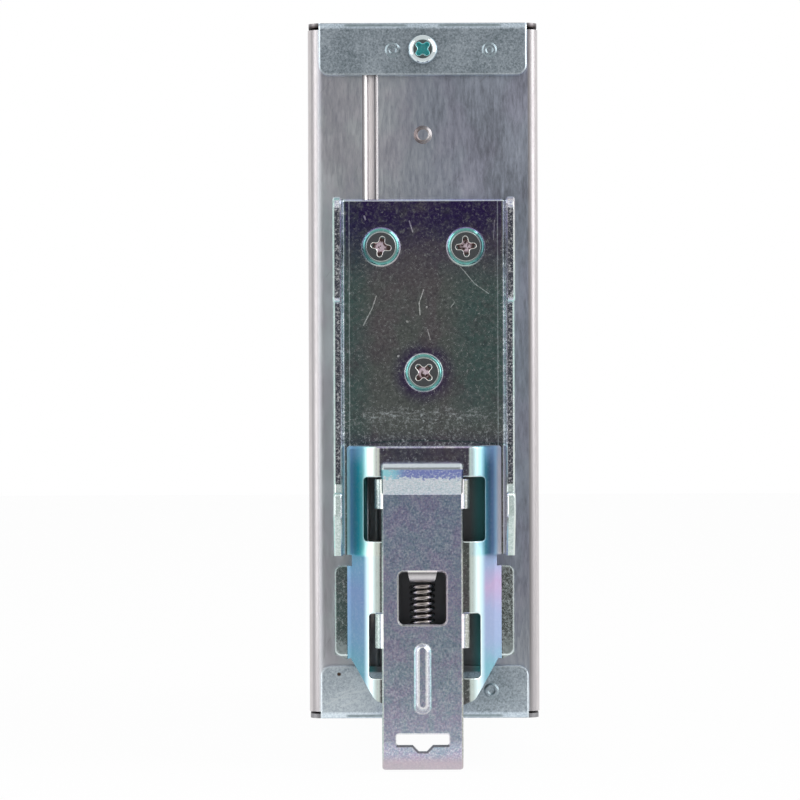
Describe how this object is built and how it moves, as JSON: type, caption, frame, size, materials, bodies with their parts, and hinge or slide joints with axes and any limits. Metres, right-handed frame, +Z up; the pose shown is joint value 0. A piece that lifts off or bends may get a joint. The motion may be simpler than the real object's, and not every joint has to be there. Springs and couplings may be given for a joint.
{
  "type": "din rail power supply",
  "caption": "Slim metal-cased DIN rail power supply with screw terminals, vented end caps, a hooked sheet-metal rail bracket and a spring-loaded release slider.",
  "frame": {"origin": "on the rail seat, at the middle of the rail's height and of the case's width", "axes": "+Y from the front with the terminals to the rail side, +Z up to the output end, +X across the width"},
  "size_m": [0.0414, 0.1275, 0.1338],
  "materials": {
    "shell_aluminium": "long brushed grain",
    "galvanised_sheet": "galvanised, fine spangle",
    "bright_zinc_sheet": "bright zinc plating with a bluish rainbow tint",
    "matt_zinc_sheet": "matt bluish zinc plating",
    "zinc_screw": "bright zinc plated",
    "spring_steel": "drawn wire",
    "inner_steel": "plated",
    "brass_standoff": "turned",
    "terminal_moulding": "moulded",
    "terminal_screw_steel": "plated",
    "clamp_steel": "nickel plated",
    "tinned_brass": "tinned",
    "board_laminate": "solder mask",
    "insulation_film": "film",
    "trimmer_moulding": "moulded",
    "trimmer_rotor_plastic": "moulded",
    "lamp_lens": "clear tinted",
    "ferrite": "pressed ferrite",
    "winding_tape": "polyester tape",
    "capacitor_sleeve": "shrink sleeve",
    "choke_wire": "enamelled wire",
    "inductor_core": "coated powder core",
    "film_capacitor_case": "moulded box",
    "fuse_glass": "clear",
    "disc_coating": "dipped coating",
    "heat_sink_aluminium": "mill finish",
    "package_epoxy": "moulded epoxy"
  },
  "bodies": {
    "case": {"backing_plate": "inner_steel", "board_screws": "zinc_screw", "board_standoffs": "brass_standoff", "bottom_cap": "galvanised_sheet", "bracket_screws": "zinc_screw", "bulk_capacitor": "capacitor_sleeve", "cap_screws": "zinc_screw", "clinch_nuts": "inner_steel", "coated_discs": "disc_coating", "common_mode_choke": "choke_wire", "control_parts": "package_epoxy", "fuse": "fuse_glass", "fuse_clips": "tinned_brass", "housing_shell": "shell_aluminium", "input_board": "board_laminate", "input_contacts": "tinned_brass", "input_terminal_block": "terminal_moulding", "insulation_sheet": "insulation_film", "main_board": "board_laminate", "output_board": "board_laminate", "output_capacitors": "capacitor_sleeve", "output_contacts": "tinned_brass", "output_inductor": "inductor_core", "output_rectifier": "package_epoxy", "output_terminal_block": "terminal_moulding", "primary_heat_sink": "heat_sink_aluminium", "primary_switches": "package_epoxy", "rail_bracket": "bright_zinc_sheet", "secondary_heat_sink": "heat_sink_aluminium", "slider_spring": "spring_steel", "status_led": "lamp_lens", "top_cap": "galvanised_sheet", "transformer_core": "ferrite", "transformer_winding": "winding_tape", "trimmer_body": "trimmer_moulding", "x_capacitor": "film_capacitor_case"},
    "slider": {"release_slider": "matt_zinc_sheet"},
    "trimmer": {"trimmer_rotor": "trimmer_rotor_plastic"},
    "output_screw_1": {"output_screw_1": "terminal_screw_steel"},
    "output_clamp_1": {"output_clamp_1": "clamp_steel"},
    "output_screw_2": {"output_screw_2": "terminal_screw_steel"},
    "output_clamp_2": {"output_clamp_2": "clamp_steel"},
    "output_screw_3": {"output_screw_3": "terminal_screw_steel"},
    "output_clamp_3": {"output_clamp_3": "clamp_steel"},
    "output_screw_4": {"output_screw_4": "terminal_screw_steel"},
    "output_clamp_4": {"output_clamp_4": "clamp_steel"},
    "input_screw_1": {"input_screw_1": "terminal_screw_steel"},
    "input_clamp_1": {"input_clamp_1": "clamp_steel"},
    "input_screw_2": {"input_screw_2": "terminal_screw_steel"},
    "input_clamp_2": {"input_clamp_2": "clamp_steel"},
    "input_screw_3": {"input_screw_3": "terminal_screw_steel"},
    "input_clamp_3": {"input_clamp_3": "clamp_steel"}
  },
  "joints": [
    {"name": "slider_release", "type": "slide", "parent": "case", "child": "slider", "axis": [0, 0, -1], "range_m": [0, 0.0054], "stiffness_N_per_m": 1600, "springref_m": -0.006, "deforming": ["slider_spring"]},
    {"name": "trimmer_turn", "type": "hinge", "parent": "case", "child": "trimmer", "pos_m": [0.008, -0.1207, 0.0455], "axis": [0, 1, 0], "range_deg": [-135, 135]},
    {"name": "output_clamp_1_slide", "type": "slide", "parent": "case", "child": "output_clamp_1", "axis": [0, -1, 0], "range_m": [0, 0.003]},
    {"name": "output_screw_1_turn", "type": "hinge", "parent": "case", "child": "output_screw_1", "pos_m": [-0.01143, -0.1196, 0.062], "axis": [0, 1, 0], "range_deg": [0, 2160]},
    {"name": "output_clamp_2_slide", "type": "slide", "parent": "case", "child": "output_clamp_2", "axis": [0, -1, 0], "range_m": [0, 0.003]},
    {"name": "output_screw_2_turn", "type": "hinge", "parent": "case", "child": "output_screw_2", "pos_m": [-0.00381, -0.1196, 0.062], "axis": [0, 1, 0], "range_deg": [0, 2160]},
    {"name": "output_clamp_3_slide", "type": "slide", "parent": "case", "child": "output_clamp_3", "axis": [0, -1, 0], "range_m": [0, 0.003]},
    {"name": "output_screw_3_turn", "type": "hinge", "parent": "case", "child": "output_screw_3", "pos_m": [0.00381, -0.1196, 0.062], "axis": [0, 1, 0], "range_deg": [0, 2160]},
    {"name": "output_clamp_4_slide", "type": "slide", "parent": "case", "child": "output_clamp_4", "axis": [0, -1, 0], "range_m": [0, 0.003]},
    {"name": "output_screw_4_turn", "type": "hinge", "parent": "case", "child": "output_screw_4", "pos_m": [0.01143, -0.1196, 0.062], "axis": [0, 1, 0], "range_deg": [0, 2160]},
    {"name": "input_clamp_1_slide", "type": "slide", "parent": "case", "child": "input_clamp_1", "axis": [0, -1, 0], "range_m": [0, 0.003]},
    {"name": "input_screw_1_turn", "type": "hinge", "parent": "case", "child": "input_screw_1", "pos_m": [-0.00762, -0.1196, -0.0539], "axis": [0, 1, 0], "range_deg": [0, 2160]},
    {"name": "input_clamp_2_slide", "type": "slide", "parent": "case", "child": "input_clamp_2", "axis": [0, -1, 0], "range_m": [0, 0.003]},
    {"name": "input_screw_2_turn", "type": "hinge", "parent": "case", "child": "input_screw_2", "pos_m": [0, -0.1196, -0.0539], "axis": [0, 1, 0], "range_deg": [0, 2160]},
    {"name": "input_clamp_3_slide", "type": "slide", "parent": "case", "child": "input_clamp_3", "axis": [0, -1, 0], "range_m": [0, 0.003]},
    {"name": "input_screw_3_turn", "type": "hinge", "parent": "case", "child": "input_screw_3", "pos_m": [0.00762, -0.1196, -0.0539], "axis": [0, 1, 0], "range_deg": [0, 2160]}
  ],
  "couplings": [
    {"joint": "output_screw_1_turn", "follows": "output_clamp_1_slide", "rad_per_m": 12566},
    {"joint": "output_screw_2_turn", "follows": "output_clamp_2_slide", "rad_per_m": 12566},
    {"joint": "output_screw_3_turn", "follows": "output_clamp_3_slide", "rad_per_m": 12566},
    {"joint": "output_screw_4_turn", "follows": "output_clamp_4_slide", "rad_per_m": 12566},
    {"joint": "input_screw_1_turn", "follows": "input_clamp_1_slide", "rad_per_m": 12566},
    {"joint": "input_screw_2_turn", "follows": "input_clamp_2_slide", "rad_per_m": 12566},
    {"joint": "input_screw_3_turn", "follows": "input_clamp_3_slide", "rad_per_m": 12566}
  ]
}
